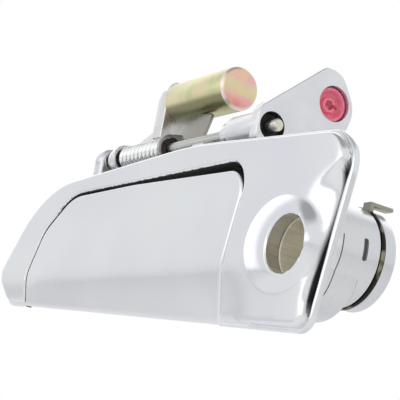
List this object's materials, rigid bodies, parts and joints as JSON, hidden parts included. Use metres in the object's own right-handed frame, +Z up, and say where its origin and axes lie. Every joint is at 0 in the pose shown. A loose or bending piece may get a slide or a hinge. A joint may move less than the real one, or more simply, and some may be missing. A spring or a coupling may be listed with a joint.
{
  "type": "exterior car door handle",
  "caption": "Pull-up car door handle: hinged paddle in a chrome bezel with lock housing, return spring, inertia counterweight and a lever with a plastic clip for the latch rod.",
  "frame": {"origin": "on the flange's rear face, which lies against the door skin, 30 mm straight above the lock bore's axis", "axes": "+X along the handle towards the lock end, +Y into the door, +Z up"},
  "size_m": [0.239, 0.0546, 0.1088],
  "materials": {
    "chrome": "bright chrome plating on a zinc die casting",
    "satin_zinc": "satin die-cast metal, bare",
    "plated_steel": "bright zinc-plated steel",
    "yellow_zinc": "yellow chromate over zinc-plated steel",
    "brass_liner": "dull khaki metal",
    "spring_steel": "plated spring steel",
    "black_nylon": "moulded nylon, matt",
    "red_plastic": "moulded acetal, slightly glossy",
    "rubber": "moulded rubber, matt"
  },
  "bodies": {
    "casting": {"bezel": "chrome", "lock_sleeve": "brass_liner", "lock_retaining_clip": "spring_steel", "hinge_pin": "plated_steel", "pin_e_clip": "spring_steel", "washer_left": "plated_steel", "washer_right": "plated_steel", "pin_retaining_ring": "spring_steel", "torsion_spring": "spring_steel", "paddle_bumper_left": "rubber", "paddle_bumper_right": "rubber"},
    "pull_paddle": {"paddle": "chrome", "paddle_bush_left": "black_nylon", "paddle_bush_right": "black_nylon"},
    "inertia_weight": {"counterweight_bracket": "plated_steel", "bracket_bush_left": "black_nylon", "bracket_bush_right": "black_nylon", "counterweight": "yellow_zinc", "counterweight_rivet": "yellow_zinc"},
    "crank": {"release_lever": "satin_zinc", "lever_bush": "black_nylon"},
    "clip": {"rod_clip": "red_plastic"}
  },
  "joints": [
    {"name": "paddle_hinge", "type": "hinge", "parent": "casting", "child": "pull_paddle", "pos_m": [-0.1, 0.011, 0.02], "axis": [-1, 0, 0], "range_deg": [0, 28], "stiffness_Nm_per_rad": 0.3, "springref_deg": -28.65, "deforming": ["torsion_spring"]},
    {"name": "lever_hinge", "type": "hinge", "parent": "casting", "child": "crank", "pos_m": [-0.06, 0.011, 0.02], "axis": [-1, 0, 0], "range_deg": [0, 28]},
    {"name": "counterweight_hinge", "type": "hinge", "parent": "casting", "child": "inertia_weight", "pos_m": [-0.13, 0.011, 0.02], "axis": [-1, 0, 0], "range_deg": [0, 28]},
    {"name": "rod_clip_swivel", "type": "hinge", "parent": "crank", "child": "clip", "pos_m": [-0.047, 0.036, 0.036], "axis": [1, 0, 0], "range_deg": [-45, 45]}
  ],
  "couplings": [
    {"joint": "lever_hinge", "follows": "paddle_hinge", "ratio": 1},
    {"joint": "counterweight_hinge", "follows": "paddle_hinge", "ratio": 1}
  ]
}
